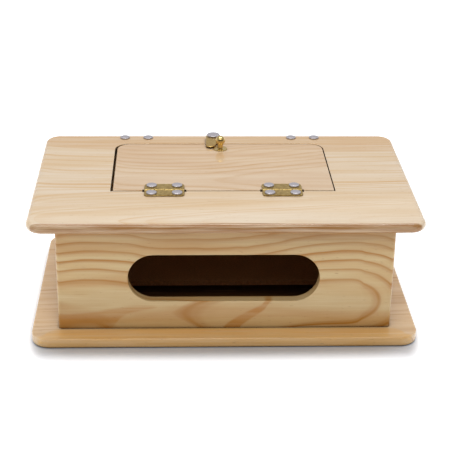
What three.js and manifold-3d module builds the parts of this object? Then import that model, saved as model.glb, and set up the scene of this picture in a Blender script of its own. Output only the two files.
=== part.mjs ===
// Donation box: a low pine box on a wide base board. Its hinged lid has a flap cut into it, with a knob,
// two surface hinges and a turn button, and its front panel has a wide slot with round ends.
// Millimetres, +Z up, front facing -Y. The origin is the centre of the base board's underside.
import * as THREE from 'three';
import { mergeVertices } from 'three/addons/utils/BufferGeometryUtils.js';
import Module from 'manifold-3d';

const wasm = await Module();
wasm.setup();

// ---------------------------------------------------------------- driving dimensions
const BOARD = { width: 240, depth: 152.5, thick: 6.5 };   // base and lid are the same size of board
const HEIGHT = 83;                                        // table to lid top
const BODY = { width: 207, front: -63, rear: 62.5, wall: 6.5 };
const LID_GAP = 0.3;                                      // between the walls and the closed lid
const BASE_CORNER = 12;
const LID_CORNER = 10;
const PANEL_CORNER = 2;
const SLOT = { width: 118, height: 31.6, edge: 0.4, x: -1.1, z: 41.1 };
const FLAP = { left: -70, right: 69.4, front: -23.6, rear: 58, corner: 9, edge: 0.4 };
const SEAM = { left: 1.5, right: 0.6, front: 0.9, rear: 0.5 };
const SHELF = { front: -25.4, thick: 3, underside: 17, sideGap: 0.3 };
const CLEAT = { width: 8, front: -23.5, rear: 54 };

const HINGE = { length: 25, reach: 9.2, plate: 0.9, barrel: 1.1, pinBore: 0.8, knuckles: 4, knuckleGap: 0.2 };
const HINGE_HOLE = { along: 8, out: 5.9 };                // screw holes, from the hinge's middle and axis
const PIN_RADIUS = 0.5;
const LID_HINGE_X = 57.6;
const FLAP_HINGE = { x: 37, shift: -0.7 };                // half the pair's spacing, and its middle
const LID_AXIS_OFF = 1.35;                                // lid hinge axis from wall and from lid underside
const NOTCH = { halfWidth: 1.9, depth: 2, endGap: 1.3 };   // lets the flap hinges' barrels into the seam

const BORE_GAP = 0.3;                                     // round each shank, pin and countersunk head
const SHANK = 1.45;
const PAN_HEAD = { radius: 3.3, height: 1.3 };
const FLAP_SCREW_LENGTH = 6;
const LID_SCREW_LENGTH = 7.7;
const LEAF_SCREW = { head: 2.3, headDepth: 0.85, length: 6 };
const BASE_SCREW = { head: 3, headDepth: 1.6, length: 16, recess: 0.3 };
const BASE_SCREW_X = 88;

const KNOB = { x: -0.3, y: 48.5, flange: 4.75, flangeHeight: 0.7, neck: 1.95, ball: 3.4, height: 9.5 };
const KNOB_SCREW = { shank: 1.1, head: 2.6, headHeight: 1.6, bite: 3.6 };
const BUTTON = { x: -4.6, y: 66, boss: 5.1, tip: 3, reach: 14.2, thick: 2.3, turn: -9.4, edge: 0.5 };
const BUTTON_SCREW = { head: 4.4, headHeight: 1.3, inWood: 5.3 };
const WASHER = { radius: 3.4, thick: 0.7 };
const TURNING_GAP = 0.1;                                  // above and below the turn button

const ARC_STEPS = 4;
const LATHE_STEPS = 12;

// ---------------------------------------------------------------- worked-out levels and lines
const LID_UNDERSIDE = HEIGHT - BOARD.thick;
const WALL_HEIGHT = LID_UNDERSIDE - LID_GAP - BOARD.thick;
const SIDE_FRONT = BODY.front + BODY.wall;
const SIDE_REAR = BODY.rear - BODY.wall;
const INNER_X = BODY.width / 2 - BODY.wall;
const FLAP_AXIS_Y = FLAP.front - SEAM.front / 2;
const LID_AXIS = { y: BODY.rear + LID_AXIS_OFF, z: LID_UNDERSIDE - LID_AXIS_OFF };
const BORE = SHANK + BORE_GAP;
const LID_HINGES = [-LID_HINGE_X, LID_HINGE_X];
const FLAP_HINGES = [FLAP_HINGE.shift - FLAP_HINGE.x, FLAP_HINGE.shift + FLAP_HINGE.x];
const QUARTER = Math.PI / 2;

// ---------------------------------------------------------------- materials
const finish = (color, roughness, metalness) => new THREE.MeshStandardMaterial({ color, roughness, metalness });
const PINE = finish(0xdcc29f, 0.35, 0);
const HARDBOARD = finish(0x6b4a30, 0.7, 0);
const BRASS = finish(0xb49a5e, 0.3, 1);
const STEEL = finish(0xa9a5a0, 0.35, 1);

// ---------------------------------------------------------------- solids from three.js geometry
function clean(geometry) {
  geometry.deleteAttribute('normal');
  geometry.deleteAttribute('uv');
  const merged = mergeVertices(geometry, 1e-4);
  const kept = [];
  const index = merged.index.array;
  for (let i = 0; i < index.length; i += 3) {
    const [a, b, c] = [index[i], index[i + 1], index[i + 2]];
    if (a !== b && b !== c && c !== a) kept.push(a, b, c);
  }
  merged.setIndex(kept);
  return merged;
}

function solid(geometry) {
  const tidy = clean(geometry);
  const mesh = new wasm.Mesh({
    numProp: 3,
    vertProperties: Float32Array.from(tidy.attributes.position.array),
    triVerts: Uint32Array.from(tidy.index.array),
  });
  return new wasm.Manifold(mesh);
}

function shell(manifold) {
  const mesh = manifold.getMesh();
  const geometry = new THREE.BufferGeometry();
  geometry.setAttribute('position', new THREE.BufferAttribute(Float32Array.from(mesh.vertProperties), 3));
  geometry.setIndex(new THREE.BufferAttribute(Uint32Array.from(mesh.triVerts), 1));
  return geometry;
}

function cut(body, cutters) {
  return cutters.reduce((left, cutter) => left.subtract(solid(cutter)), body);
}

function outline(x0, x1, y0, y1, frontCorner = 0, rearCorner = frontCorner) {
  const shape = new THREE.Shape();
  shape.moveTo(x0 + frontCorner, y0);
  shape.lineTo(x1 - frontCorner, y0);
  if (frontCorner) shape.absarc(x1 - frontCorner, y0 + frontCorner, frontCorner, -QUARTER, 0);
  shape.lineTo(x1, y1 - rearCorner);
  if (rearCorner) shape.absarc(x1 - rearCorner, y1 - rearCorner, rearCorner, 0, QUARTER);
  shape.lineTo(x0 + rearCorner, y1);
  if (rearCorner) shape.absarc(x0 + rearCorner, y1 - rearCorner, rearCorner, QUARTER, 2 * QUARTER);
  shape.lineTo(x0, y0 + frontCorner);
  if (frontCorner) shape.absarc(x0 + frontCorner, y0 + frontCorner, frontCorner, 2 * QUARTER, 3 * QUARTER);
  return shape;
}

function stadium(cx, cy, width, height) {
  const radius = height / 2;
  const reach = width / 2 - radius;
  const path = new THREE.Path();
  path.absarc(cx + reach, cy, radius, -QUARTER, QUARTER);
  path.absarc(cx - reach, cy, radius, QUARTER, 3 * QUARTER);
  path.closePath();
  return path;
}

// A plate from z = 0 to z = height whose edges are rounded over by `edge` on both faces.
function plate(shape, height, edge = 0, edgeSteps = 2, curveSegments = ARC_STEPS) {
  const geometry = new THREE.ExtrudeGeometry(shape, {
    depth: height - 2 * edge,
    bevelEnabled: edge > 0,
    bevelThickness: edge,
    bevelSize: edge,
    bevelOffset: -edge,
    bevelSegments: edgeSteps,
    curveSegments,
  });
  return geometry.translate(0, 0, edge);
}

function block(x0, x1, y0, y1, z0, z1) {
  const geometry = new THREE.BoxGeometry(x1 - x0, y1 - y0, z1 - z0);
  return geometry.translate((x0 + x1) / 2, (y0 + y1) / 2, (z0 + z1) / 2);
}

// A turned piece about +Z. The profile is a list of [radius, z], upwards, from the axis back to the axis.
function turned(profile, steps = LATHE_STEPS) {
  const points = profile.map(([radius, z]) => new THREE.Vector2(radius, z));
  return new THREE.LatheGeometry(points, steps).rotateX(QUARTER);
}

function rod(radius, z0, z1, x = 0, y = 0, steps = LATHE_STEPS) {
  return turned([[0, z0], [radius, z0], [radius, z1], [0, z1]], steps).translate(x, y, 0);
}

function arc(cx, cz, radius, from, to, steps) {
  return Array.from({ length: steps + 1 }, (_, i) => {
    const angle = from + ((to - from) * i) / steps;
    return [cx + radius * Math.cos(angle), cz + radius * Math.sin(angle)];
  });
}

// ---------------------------------------------------------------- boards
function baseBoard() {
  const [w, d] = [BOARD.width / 2, BOARD.depth / 2];
  const board = solid(plate(outline(-w, w, -d, d, BASE_CORNER), BOARD.thick, 1));
  const { head, headDepth, recess } = BASE_SCREW;
  const wide = head + BORE_GAP;
  const coneTop = recess + headDepth;
  const hole = [[0, -1], [wide, -1], [wide, recess], [BORE, coneTop], [BORE, BOARD.thick + 1], [0, BOARD.thick + 1]];
  return shell(cut(board, baseScrewPlaces().map(([x, y]) => turned(hole).translate(x, y, 0))));
}

function baseScrewPlaces() {
  const sideX = (BODY.width - BODY.wall) / 2;
  const frontY = BODY.front + BODY.wall / 2;
  const rearY = BODY.rear - BODY.wall / 2;
  return [
    [-BASE_SCREW_X, frontY], [BASE_SCREW_X, frontY],
    [-BASE_SCREW_X, rearY], [BASE_SCREW_X, rearY],
    [-sideX, 0], [sideX, 0],
  ];
}

// Pilot holes up into a wall's lower edge, for the base screws that stand inside the wall's outline.
function basePilots(x0, x1, y0, y1) {
  const depth = BASE_SCREW.length + BASE_SCREW.recess + BORE_GAP - BOARD.thick;
  const inside = ([x, y]) => x > x0 && x < x1 && y > y0 && y < y1;
  return baseScrewPlaces().filter(inside).map(([x, y]) => rod(BORE, -1, depth, x, y));
}

// Walls stand with their lower edge at z = 0.
function wall(x0, x1, y0, y1, shape = outline(x0, x1, y0, y1)) {
  return cut(solid(plate(shape, WALL_HEIGHT)), basePilots(x0, x1, y0, y1));
}

function frontPanel() {
  const half = BODY.width / 2;
  const y1 = BODY.front + BODY.wall;
  const panel = wall(-half, half, BODY.front, y1, outline(-half, half, BODY.front, y1, PANEL_CORNER, 0));
  const spare = 20;
  const sheet = outline(-half - spare, half + spare, -WALL_HEIGHT, WALL_HEIGHT);
  sheet.holes.push(stadium(SLOT.x, SLOT.z - BOARD.thick - WALL_HEIGHT / 2, SLOT.width, SLOT.height));
  const slotted = plate(sheet, BODY.wall, SLOT.edge, 2, 8).rotateX(QUARTER);
  return shell(panel.intersect(solid(slotted.translate(0, y1, WALL_HEIGHT / 2))));
}

function backPanel() {
  const half = BODY.width / 2;
  const y0 = BODY.rear - BODY.wall;
  const panel = wall(-half, half, y0, BODY.rear, outline(-half, half, y0, BODY.rear, 0, PANEL_CORNER));
  const screwZ = LID_AXIS.z - HINGE_HOLE.out - BOARD.thick;
  const depth = LEAF_SCREW.length + BORE_GAP - HINGE.plate;
  const pilots = hingeHoles(LID_HINGES).map((x) => rod(BORE, -1, depth).rotateX(QUARTER)
    .translate(x, BODY.rear, screwZ));
  return shell(cut(panel, pilots));
}

const sidePanel = (side) => {
  const [inner, outer] = [side * INNER_X, side * (BODY.width / 2)];
  return shell(wall(Math.min(inner, outer), Math.max(inner, outer), SIDE_FRONT, SIDE_REAR));
};

// Screw hole places along X for a pair of hinges.
function hingeHoles(middles) {
  return middles.flatMap((x) => [x - HINGE_HOLE.along, x + HINGE_HOLE.along]);
}

// The barrels of the flap's hinges lie in these notches, at the seam.
function barrelNotches() {
  const half = HINGE.length / 2 + NOTCH.endGap;
  const [y0, y1] = [FLAP_AXIS_Y - NOTCH.halfWidth, FLAP_AXIS_Y + NOTCH.halfWidth];
  return FLAP_HINGES.map((x) =>
    block(x - half, x + half, y0, y1, BOARD.thick - NOTCH.depth, BOARD.thick + 1));
}

function leafScrewPilots(side) {
  const y = FLAP_AXIS_Y + side * HINGE_HOLE.out;
  const bottom = BOARD.thick + HINGE.plate - FLAP_SCREW_LENGTH - BORE_GAP;
  return hingeHoles(FLAP_HINGES).map((x) => rod(BORE, bottom, BOARD.thick + 1, x, y));
}

// Lid pieces stand in the lid's own frame, with the lid's underside at z = 0.
function lidBoard() {
  const [w, d, t] = [BOARD.width / 2, BOARD.depth / 2, BOARD.thick];
  const bullnose = t / 2 - 0.05;
  const board = solid(plate(outline(-w, w, -d, d, LID_CORNER), t, bullnose, 3));
  const opening = outline(FLAP.left - SEAM.left, FLAP.right + SEAM.right, FLAP.front - SEAM.front,
    FLAP.rear + SEAM.rear, 0, FLAP.corner + SEAM.rear);
  const lidScrewY = LID_AXIS.y + HINGE_HOLE.out;
  return shell(cut(board, [
    plate(opening, t + 2).translate(0, 0, -1),
    ...barrelNotches(),
    ...leafScrewPilots(-1),
    ...hingeHoles(LID_HINGES).map((x) => rod(BORE, -1, t + 1, x, lidScrewY)),
    rod(BORE, t - BUTTON_SCREW.inWood - BORE_GAP, t + 1, BUTTON.x, BUTTON.y),
  ]));
}

function flapBoard() {
  const shape = outline(FLAP.left, FLAP.right, FLAP.front, FLAP.rear, 0, FLAP.corner);
  const knobBore = KNOB_SCREW.shank + BORE_GAP;
  return shell(cut(solid(plate(shape, BOARD.thick, FLAP.edge, 1)), [
    ...barrelNotches(),
    ...leafScrewPilots(1),
    rod(knobBore, -1, BOARD.thick + 1, KNOB.x, KNOB.y),
  ]));
}

function shelfBoard() {
  const half = INNER_X - SHELF.sideGap;
  return plate(outline(-half, half, SHELF.front, SIDE_REAR - SHELF.sideGap), SHELF.thick);
}

function shelfCleat() {
  return block(-CLEAT.width / 2, CLEAT.width / 2, CLEAT.front, CLEAT.rear, 0, SHELF.underside - BOARD.thick);
}

// ---------------------------------------------------------------- hinges
// One leaf, axis along X at the origin, plate towards +Y from z = plateBase. Its knuckles take every second
// place, so the same leaf turned by half a turn about Z fills the other places.
function hingeLeaf(plateBase, holes) {
  const { length, reach, plate: thick, barrel, pinBore, knuckles, knuckleGap } = HINGE;
  const half = length / 2;
  const plateStart = barrel + 0.25;
  const corner = 1.2;
  const outer = outline(-half, half, plateStart, reach, 0, corner);
  let leaf = solid(plate(outer, thick).translate(0, 0, plateBase));
  const step = length / knuckles;
  for (let i = 0; i < knuckles; i += 2) {
    const x0 = -half + i * step + (i ? knuckleGap / 2 : 0);
    const x1 = -half + (i + 1) * step - knuckleGap / 2;
    const tube = rod(barrel, x0, x1).rotateY(QUARTER);
    leaf = leaf.add(solid(tube));
    leaf = leaf.add(solid(block(x0, x1, pinBore + 0.05, plateStart + 0.3, plateBase, plateBase + thick)));
  }
  return shell(cut(leaf, [rod(pinBore, -half - 1, half + 1).rotateY(QUARTER), ...holes(plateBase)]));
}

const leafHoles = (profile) => (base) => [-1, 1].map((side) =>
  turned(profile(base)).translate(side * HINGE_HOLE.along, HINGE_HOLE.out, 0));

const plainHoles = leafHoles((base) => {
  const [low, high] = [base - 1, base + HINGE.plate + 1];
  return [[0, low], [BORE, low], [BORE, high], [0, high]];
});

// Countersunk from the side that faces the axis, which is the leaf's outer side on the back panel.
const countersunkHoles = leafHoles((base) => {
  const wide = LEAF_SCREW.head + BORE_GAP;
  const [low, coneEnd, high] = [base - 1, base + LEAF_SCREW.headDepth, base + HINGE.plate + 1];
  return [[0, low], [wide, low], [wide, base], [BORE, coneEnd], [BORE, high], [0, high]];
});

const hingePin = () => rod(PIN_RADIUS, -HINGE.length / 2, HINGE.length / 2).rotateY(QUARTER);

// ---------------------------------------------------------------- turned pieces
// Screws stand head up, with the underside of the head at z = 0.
function panScrew(shank, length, radius, height) {
  const point = 0.8;
  return turned([
    [0, -length], [shank - 0.5, -length], [shank, point - length], [shank, 0], [radius, 0],
    [radius, 0.5 * height], [0.9 * radius, 0.8 * height], [0.65 * radius, 0.97 * height], [0, height],
  ]);
}

// Countersunk screws stand head up, with the flat of the head at z = 0.
function countersunkScrew(length, head, headDepth) {
  const point = 0.8;
  return turned([
    [0, -length], [SHANK - 0.5, -length], [SHANK, point - length], [SHANK, -headDepth], [head, 0], [0, 0],
  ]);
}

function flapKnob() {
  const { flange, flangeHeight, neck, ball, height } = KNOB;
  const hole = KNOB_SCREW.shank + BORE_GAP;
  const holeTop = KNOB_SCREW.bite + BORE_GAP;
  const centre = height - ball;
  const join = -Math.acos(neck / ball);
  return turned([
    [0, holeTop], [hole, holeTop], [hole, 0], [flange, 0], [flange, 0.5 * flangeHeight],
    [0.9 * flange, flangeHeight], [neck + 0.8, flangeHeight + 0.3], [neck, flangeHeight + 1.1],
    ...arc(0, centre, ball, join, QUARTER, 7).slice(0, -1), [0, height],
  ], 16);
}

function turnButton() {
  const { boss, tip, reach, thick, edge } = BUTTON;
  const lean = Math.asin((boss - tip) / reach);
  const shape = new THREE.Shape();
  shape.absarc(0, 0, boss, -lean, Math.PI + lean);
  shape.absarc(0, -reach, tip, Math.PI + lean, 2 * Math.PI - lean);
  shape.closePath();
  return shell(cut(solid(plate(shape, thick, edge, 2, 6)), [rod(BORE, -1, thick + 1)]));
}

function washer() {
  return shell(cut(solid(rod(WASHER.radius, 0, WASHER.thick)), [rod(BORE, -1, WASHER.thick + 1)]));
}

// ---------------------------------------------------------------- assembly
function add(parent, name, geometry, material, position = [0, 0, 0], rotation = [0, 0, 0]) {
  const mesh = new THREE.Mesh(clean(geometry), material);
  mesh.name = name;
  mesh.position.set(...position);
  mesh.rotation.set(...rotation);
  parent.add(mesh);
}

const sides = [['left', -1], ['right', 1]];

function addCarcase(group) {
  add(group, 'base_board', baseBoard(), PINE);
  add(group, 'front_panel', frontPanel(), PINE, [0, 0, BOARD.thick]);
  add(group, 'back_panel', backPanel(), PINE, [0, 0, BOARD.thick]);
  add(group, 'shelf_board', shelfBoard(), HARDBOARD, [0, 0, SHELF.underside]);
  for (const [side, sign] of sides) {
    add(group, `${side}_side_panel`, sidePanel(sign), PINE, [0, 0, BOARD.thick]);
    const cleatX = sign * (INNER_X - CLEAT.width / 2);
    add(group, `${side}_shelf_cleat`, shelfCleat(), PINE, [cleatX, 0, BOARD.thick]);
  }
  baseScrewPlaces().forEach(([x, y], i) => {
    const screw = countersunkScrew(BASE_SCREW.length, BASE_SCREW.head, BASE_SCREW.headDepth);
    add(group, `base_screw_${i + 1}`, screw, STEEL, [x, y, BASE_SCREW.recess], [2 * QUARTER, 0, 0]);
  });
}

function addLidHinges(bodyGroup, lidGroup) {
  const plateBase = LID_AXIS_OFF - HINGE.plate;
  for (const [i, [side]] of sides.entries()) {
    const x = LID_HINGES[i];
    const axis = [x, LID_AXIS.y, LID_AXIS.z];
    const onLid = [x, LID_AXIS.y, LID_AXIS.z - LID_UNDERSIDE];
    add(bodyGroup, `lid_hinge_${side}_wall_leaf`, hingeLeaf(plateBase, countersunkHoles), BRASS, axis,
      [QUARTER, 0, 2 * QUARTER]);
    add(bodyGroup, `lid_hinge_${side}_pin`, hingePin(), STEEL, axis);
    add(lidGroup, `lid_hinge_${side}_lid_leaf`, hingeLeaf(plateBase, plainHoles), BRASS, onLid);
  }
  const leafFace = BODY.rear + HINGE.plate;
  hingeHoles(LID_HINGES).forEach((x, i) => {
    const leafScrew = countersunkScrew(LEAF_SCREW.length, LEAF_SCREW.head, LEAF_SCREW.headDepth);
    add(bodyGroup, `wall_leaf_screw_${i + 1}`, leafScrew, STEEL,
      [x, leafFace, LID_AXIS.z - HINGE_HOLE.out], [-QUARTER, 0, 0]);
    const lidScrew = panScrew(SHANK, LID_SCREW_LENGTH, PAN_HEAD.radius, PAN_HEAD.height);
    add(lidGroup, `lid_screw_${i + 1}`, lidScrew, STEEL, [x, LID_AXIS.y + HINGE_HOLE.out, BOARD.thick]);
  });
}

function addFlapHinges(lidGroup) {
  for (const [i, [side]] of sides.entries()) {
    const axis = [FLAP_HINGES[i], FLAP_AXIS_Y, BOARD.thick];
    add(lidGroup, `flap_hinge_${side}_lid_leaf`, hingeLeaf(0, plainHoles), BRASS, axis, [0, 0, 2 * QUARTER]);
    add(lidGroup, `flap_hinge_${side}_pin`, hingePin(), STEEL, axis);
    add(lidGroup, `flap_hinge_${side}_flap_leaf`, hingeLeaf(0, plainHoles), BRASS, axis);
  }
  hingeHoles(FLAP_HINGES).forEach((x, i) => {
    for (const [place, sign] of [['lid', -1], ['flap', 1]]) {
      const screw = panScrew(SHANK, FLAP_SCREW_LENGTH, PAN_HEAD.radius, PAN_HEAD.height);
      add(lidGroup, `${place}_leaf_screw_${i + 1}`, screw, STEEL,
        [x, FLAP_AXIS_Y + sign * HINGE_HOLE.out, BOARD.thick + HINGE.plate]);
    }
  });
}

function addLidFittings(lidGroup) {
  const top = BOARD.thick;
  const { shank, head, headHeight, bite } = KNOB_SCREW;
  add(lidGroup, 'flap_knob', flapKnob(), BRASS, [KNOB.x, KNOB.y, top]);
  add(lidGroup, 'knob_screw', panScrew(shank, top + bite, head, headHeight), STEEL,
    [KNOB.x, KNOB.y, 0], [2 * QUARTER, 0, 0]);
  const buttonBottom = top + WASHER.thick + TURNING_GAP;
  const headBottom = buttonBottom + BUTTON.thick + TURNING_GAP;
  add(lidGroup, 'turn_button_washer', washer(), BRASS, [BUTTON.x, BUTTON.y, top]);
  add(lidGroup, 'turn_button', turnButton(), BRASS, [BUTTON.x, BUTTON.y, buttonBottom],
    [0, 0, THREE.MathUtils.degToRad(BUTTON.turn)]);
  const screwLength = headBottom - top + BUTTON_SCREW.inWood;
  add(lidGroup, 'turn_button_screw', panScrew(SHANK, screwLength, BUTTON_SCREW.head, BUTTON_SCREW.headHeight),
    STEEL, [BUTTON.x, BUTTON.y, headBottom]);
}

const box = new THREE.Group();
const lid = new THREE.Group();
lid.position.z = LID_UNDERSIDE;
box.add(lid);
addCarcase(box);
addLidHinges(box, lid);
add(lid, 'lid_board', lidBoard(), PINE);
add(lid, 'flap_board', flapBoard(), PINE);
addFlapHinges(lid);
addLidFittings(lid);

export default box;
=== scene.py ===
"""Donation box: fine surfaces, materials, light and camera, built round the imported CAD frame.

Metres and +Z up, with the box's front facing -Y. Lengths named here are in millimetres unless said otherwise,
and are turned into metres by MM where a mesh or an object is made.
"""
import math

import bmesh
import bpy
from mathutils import Matrix, Vector
from mathutils.geometry import tessellate_polygon


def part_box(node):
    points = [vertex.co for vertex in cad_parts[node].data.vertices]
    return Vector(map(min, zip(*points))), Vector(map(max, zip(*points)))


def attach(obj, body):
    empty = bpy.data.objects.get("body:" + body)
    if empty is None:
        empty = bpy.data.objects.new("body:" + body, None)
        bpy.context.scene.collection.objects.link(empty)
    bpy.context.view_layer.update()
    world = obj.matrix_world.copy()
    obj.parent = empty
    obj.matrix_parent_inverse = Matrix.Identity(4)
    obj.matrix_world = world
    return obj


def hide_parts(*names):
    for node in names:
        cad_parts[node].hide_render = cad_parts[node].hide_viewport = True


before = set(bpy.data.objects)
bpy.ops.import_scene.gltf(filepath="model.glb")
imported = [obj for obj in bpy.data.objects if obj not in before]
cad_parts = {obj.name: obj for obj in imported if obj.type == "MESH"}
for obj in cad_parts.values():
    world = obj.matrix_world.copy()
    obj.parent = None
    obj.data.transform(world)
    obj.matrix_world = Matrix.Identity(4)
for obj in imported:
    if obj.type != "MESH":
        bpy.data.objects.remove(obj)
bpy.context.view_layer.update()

MM = 0.001
PI = math.pi
QUARTER = PI / 2

# ---------------------------------------------------------------- sizes of the fine shapes, in millimetres
BASE_CORNER, BASE_EDGE = 12, 1.0
LID_CORNER, LID_EDGE = 10, 3.2
FLAP_CORNER, FLAP_EDGE = 9, 0.4
SEAM_LEFT, SEAM_RIGHT, SEAM_FRONT, SEAM_REAR = 1.5, 0.6, 0.9, 0.5
OPENING_EDGE = 0.35
PANEL_CORNER, BOARD_EDGE = 2.0, 0.25
SHELF_EDGE, CLEAT_EDGE = 0.25, 0.4
SLOT_X, SLOT_Z = -1.1, 41.1
SLOT_WIDTH, SLOT_HEIGHT, SLOT_EDGE = 118, 31.6, 0.4
NOTCH_HALF, NOTCH_DEPTH, NOTCH_ABOVE, NOTCH_END = 1.9, 2.0, 2, 1.3
BARREL, PIN_BORE = 1.1, 0.58
LEAF_REACH, LEAF_PLATE = 9.2, 0.9
WALL_PLATE_BASE = 0.45
KNUCKLES, KNUCKLE_GAP = 4, 0.16
LEAF_CORNER, LEAF_EDGE, LEAF_START = 2.2, 0.16, 0.1
NECK_SIDE, NECK_INNER, NECK_LAP, NECK_SKIN = 0.05, 0.7, 0.4, 0.02
KNUCKLE_RIM, PIN_RIM = 0.14, 0.12
SHANK = 1.45
STEEL_HEAD, BUTTON_HEAD, PAN_HEIGHT = 3.3, 4.4, 1.3
KNOB_SHANK, KNOB_HEAD, KNOB_HEAD_HEIGHT = 1.1, 2.6, 1.6
POINT, POINT_LENGTH = 0.25, 1.2
WALL_SCREW_HEAD, BASE_SCREW_HEAD = (2.3, 0.85), (3.0, 1.6)      # radius and depth
SINK_GAP = 0.3
PAST = 1                                          # how far a cutter stands past what it cuts
CORNER_STEPS = 14
TURN_STEPS = 64
KNOB_STEPS, SCREW_STEPS, KNUCKLE_STEPS, HARDWARE_STEPS = 96, 48, 40, 32


# ---------------------------------------------------------------- outlines and edge profiles
def arc(cx, cy, radius, start, end, steps):
    """Points on an arc, both ends included."""
    angles = [start + (end - start) * i / steps for i in range(steps + 1)]
    return [(cx + radius * math.cos(a), cy + radius * math.sin(a)) for a in angles]


def rectangle(x0, x1, y0, y1, radii=(0, 0, 0, 0), side_share=1.0):
    """An outline that can be drawn in: a rectangle with corner radii from its low corner, anticlockwise.

    side_share is how much of the drawing in reaches the two long sides of a square-cornered board.
    """
    corners = [(x0, y0, 1, 1, PI), (x1, y0, -1, 1, 3 * QUARTER),
               (x1, y1, -1, -1, 0), (x0, y1, 1, -1, QUARTER)]

    def outline(inset):
        points = []
        for (cx, cy, sx, sy, start), radius in zip(corners, radii):
            if radius:
                centre = (cx + sx * radius, cy + sy * radius)
                points += arc(*centre, radius - inset, start, start + QUARTER, CORNER_STEPS)
            else:
                points.append((cx + sx * inset, cy + sy * inset * side_share))
        return points

    return outline


def stadium(cx, cy, width, height):
    """A long hole with round ends, as an outline that can be drawn in."""
    reach = (width - height) / 2

    def outline(inset):
        radius = height / 2 - inset
        right = arc(cx + reach, cy, radius, -QUARTER, QUARTER, 2 * CORNER_STEPS)
        return right + arc(cx - reach, cy, radius, QUARTER, 3 * QUARTER, 2 * CORNER_STEPS)

    return outline


def circle(cx, cy, radius):
    """A round outline that can be drawn in."""
    last = 2 * PI * (1 - 1 / TURN_STEPS)
    return lambda inset: arc(cx, cy, radius - inset, 0, last, TURN_STEPS - 1)


def rounded_edge(low, high, bottom, top, steps=6):
    """(inset, height) pairs up the edge of a board whose two rims are rounded by those radii."""
    lower = [(bottom - bottom * math.cos(a), low + bottom - bottom * math.sin(a))
             for a in (QUARTER * (1 - i / steps) for i in range(steps + 1))]
    upper = [(top - top * math.cos(a), high - top + top * math.sin(a))
             for a in (QUARTER * i / steps for i in range(steps + 1))]
    return lower + upper


def hole_edge(low, high, bottom, top, steps=6):
    """The same for a hole, whose rims open outwards."""
    return [(-inset, height) for inset, height in rounded_edge(low, high, bottom, top, steps)]


# ---------------------------------------------------------------- meshes
def new_piece(name, bm, place=None):
    """An object whose mesh is made in millimetres and stored in metres, at its place in the row frame."""
    bmesh.ops.remove_doubles(bm, verts=bm.verts, dist=1e-5)
    bmesh.ops.recalc_face_normals(bm, faces=bm.faces)
    bmesh.ops.transform(bm, matrix=Matrix.Scale(MM, 4) @ (place or Matrix.Identity(4)), verts=bm.verts)
    mesh = bpy.data.meshes.new(name)
    bm.to_mesh(mesh)
    bm.free()
    piece = bpy.data.objects.new(name, mesh)
    bpy.context.scene.collection.objects.link(piece)
    return piece


def loft(name, outer, outer_profile, holes=(), place=None, lift=None):
    """A closed board: an outline drawn in along a profile, with holes, and flat faces at both ends.

    lift gives what is added to the height at a point, for a board that isn't flat.
    """
    bm = bmesh.new()
    rings = []
    for outline, profile in [(outer, outer_profile), *holes]:
        loops = []
        for inset, height in profile:
            points = [(x, y, height + (lift(x, y, height) if lift else 0)) for x, y in outline(inset)]
            loops.append([bm.verts.new(p) for p in points])
        for low, high in zip(loops, loops[1:]):
            for i in range(len(low)):
                j = (i + 1) % len(low)
                bm.faces.new((low[i], low[j], high[j], high[i]))
        rings.append(loops)
    for end in (0, -1):
        edge_loops = [loops[end] for loops in rings]
        flat = [vert for loop in edge_loops for vert in loop]
        if len(edge_loops) == 1:
            bm.faces.new(flat)
        else:
            for triangle in tessellate_polygon([[v.co for v in loop] for loop in edge_loops]):
                bm.faces.new([flat[i] for i in triangle])
    return new_piece(name, bm, place)


def turned(name, profile, place=None, steps=TURN_STEPS):
    """A piece turned about +Z. The profile is [radius, height] pairs, from the axis back to the axis."""
    bm = bmesh.new()
    rings = []
    for radius, height in profile:
        count = steps if radius > 0 else 1
        angles = [2 * PI * i / count for i in range(count)]
        rings.append([bm.verts.new((radius * math.cos(a), radius * math.sin(a), height)) for a in angles])
    for low, high in zip(rings, rings[1:]):
        for i in range(steps):
            j = (i + 1) % steps
            corners = [low[i % len(low)], low[j % len(low)], high[j % len(high)], high[i % len(high)]]
            face = list(dict.fromkeys(corners))
            if len(face) > 2:
                bm.faces.new(face)
    return new_piece(name, bm, place)


def add_block(bm, x0, x1, y0, y1, z0, z1):
    corners = bmesh.ops.create_cube(bm, size=1)["verts"]
    for vert in corners:
        vert.co = (x0 if vert.co.x < 0 else x1, y0 if vert.co.y < 0 else y1, z0 if vert.co.z < 0 else z1)


def combine(piece, others, operation):
    """Joins or cuts a piece with others, which are used up."""
    for other in others:
        modifier = piece.modifiers.new("combine", "BOOLEAN")
        modifier.operation = operation
        modifier.solver = "EXACT"
        modifier.object = other
    mesh = bpy.data.meshes.new_from_object(piece.evaluated_get(bpy.context.evaluated_depsgraph_get()))
    piece.modifiers.clear()
    piece.data = mesh
    for other in others:
        bpy.data.objects.remove(other)
    return piece


def smooth(piece, sharp_above=32):
    """Smooth faces, with sharp edges above that angle in degrees. Flat faces shade flat up to their rims."""
    piece.data.shade_smooth()
    piece.data.set_sharp_from_angle(angle=math.radians(sharp_above))
    weighted = piece.modifiers.new("flat faces stay flat", "WEIGHTED_NORMAL")
    weighted.keep_sharp = True
    weighted.weight = 100


def place_piece(piece, material, body, node):
    """Gives a fine piece its material, the body that it rides on, and the CAD node that it stands for."""
    piece.data.materials.clear()
    piece.data.materials.append(material)
    smooth(piece)
    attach(piece, body)
    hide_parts(node)


def box_mm(node):
    """The CAD node's box in millimetres, as x0, x1, y0, y1, z0, z1."""
    low, high = (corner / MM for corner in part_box(node))
    return low.x, high.x, low.y, high.y, low.z, high.z


def middle_mm(node):
    low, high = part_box(node)
    return (low + high) / (2 * MM)


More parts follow.
